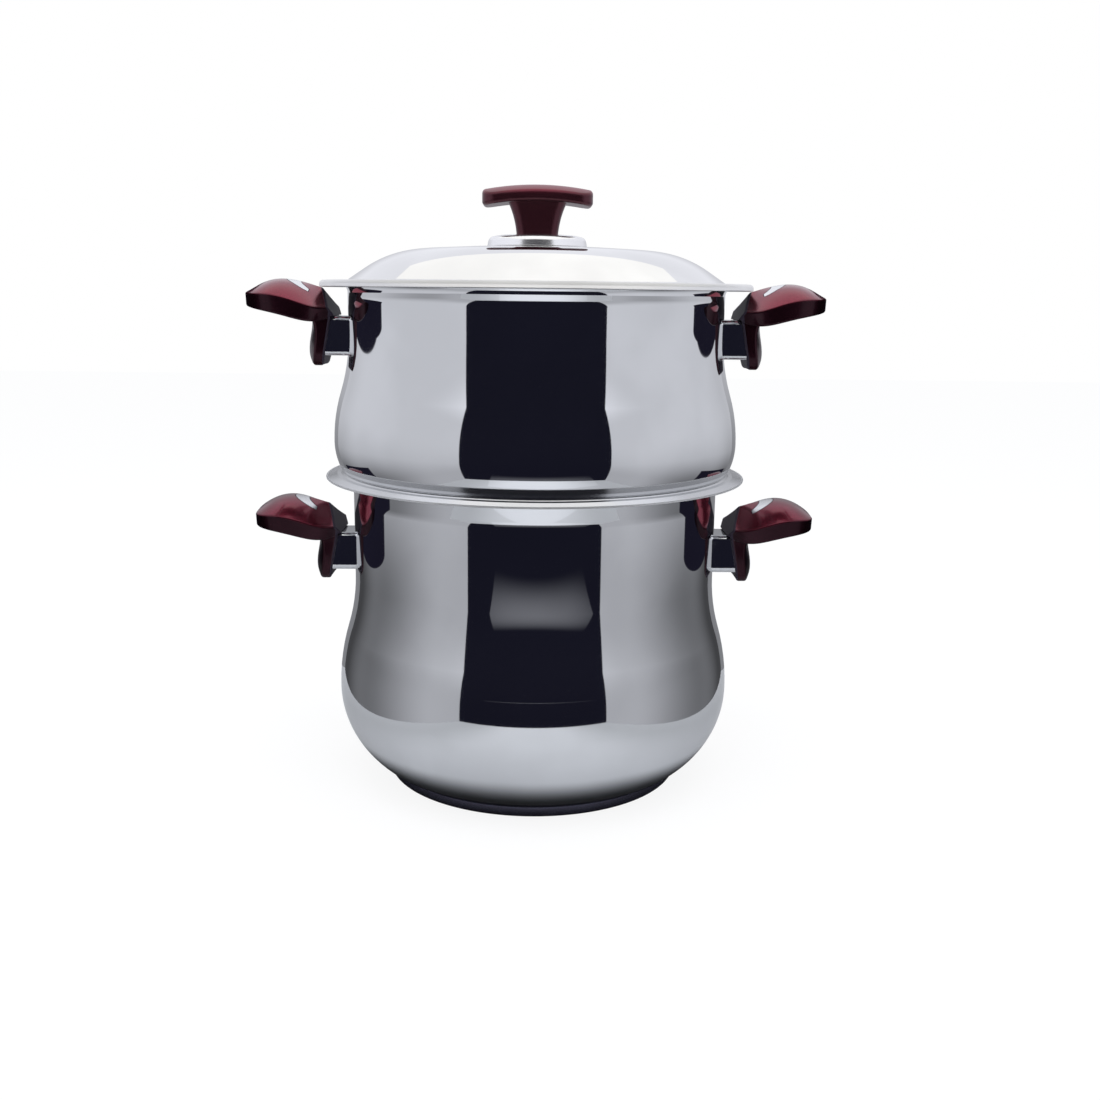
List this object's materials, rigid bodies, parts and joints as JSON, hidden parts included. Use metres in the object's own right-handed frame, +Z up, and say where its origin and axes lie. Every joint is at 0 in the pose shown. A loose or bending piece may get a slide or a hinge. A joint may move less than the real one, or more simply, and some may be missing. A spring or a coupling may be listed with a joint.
{
  "type": "steamer pot",
  "caption": "Two-tier bellied steel steamer pot: a lower pot, a pan with a pierced bottom standing in its rim, a domed lid with a T-shaped knob, and paddle side grips.",
  "frame": {"origin": "centre of the underside of the lower pot", "axes": "+Z up along the pot's axis, +X through the right-hand handles, +Y away from the viewer"},
  "size_m": [0.367, 0.277, 0.3872],
  "materials": {
    "pan_steel": "mirror-polished stainless steel",
    "lid_steel": "mirror-polished stainless steel",
    "base_steel": "satin stainless steel",
    "base_aluminium": "plain rolled",
    "rosette_steel": "mirror-polished stainless steel",
    "sleeve_steel": "mirror-polished stainless steel",
    "bracket_steel": "plain steel",
    "screw_steel": "plain steel",
    "insert_brass": "turned brass",
    "inlay_chrome": "chrome-plated",
    "grip_lacquer": "metallic burgundy lacquer on moulded phenolic resin",
    "knob_lacquer": "metallic burgundy lacquer on moulded phenolic resin"
  },
  "bodies": {
    "pot": {"pot_body": "pan_steel", "pot_base_core": "base_aluminium", "pot_base_cap": "base_steel", "pot_right_grip": "grip_lacquer", "pot_right_inlay": "inlay_chrome", "pot_right_sleeve": "sleeve_steel", "pot_right_bracket": "bracket_steel", "pot_right_screw": "screw_steel", "pot_right_washer": "screw_steel", "pot_left_grip": "grip_lacquer", "pot_left_inlay": "inlay_chrome", "pot_left_sleeve": "sleeve_steel", "pot_left_bracket": "bracket_steel", "pot_left_screw": "screw_steel", "pot_left_washer": "screw_steel"},
    "steamer": {"steamer_body": "pan_steel", "steamer_right_grip": "grip_lacquer", "steamer_right_inlay": "inlay_chrome", "steamer_right_sleeve": "sleeve_steel", "steamer_right_bracket": "bracket_steel", "steamer_right_screw": "screw_steel", "steamer_right_washer": "screw_steel", "steamer_left_grip": "grip_lacquer", "steamer_left_inlay": "inlay_chrome", "steamer_left_sleeve": "sleeve_steel", "steamer_left_bracket": "bracket_steel", "steamer_left_screw": "screw_steel", "steamer_left_washer": "screw_steel"},
    "lid": {"lid_shell": "lid_steel", "lid_rosette": "rosette_steel", "lid_knob": "knob_lacquer", "knob_insert": "insert_brass", "knob_screw": "screw_steel", "knob_washer": "screw_steel"}
  },
  "joints": [
    {"name": "steamer_lift", "type": "slide", "parent": "pot", "child": "steamer", "axis": [0, 0, 1], "range_m": [0, 0.2]},
    {"name": "lid_lift", "type": "slide", "parent": "steamer", "child": "lid", "axis": [0, 0, 1], "range_m": [0, 0.15]}
  ]
}
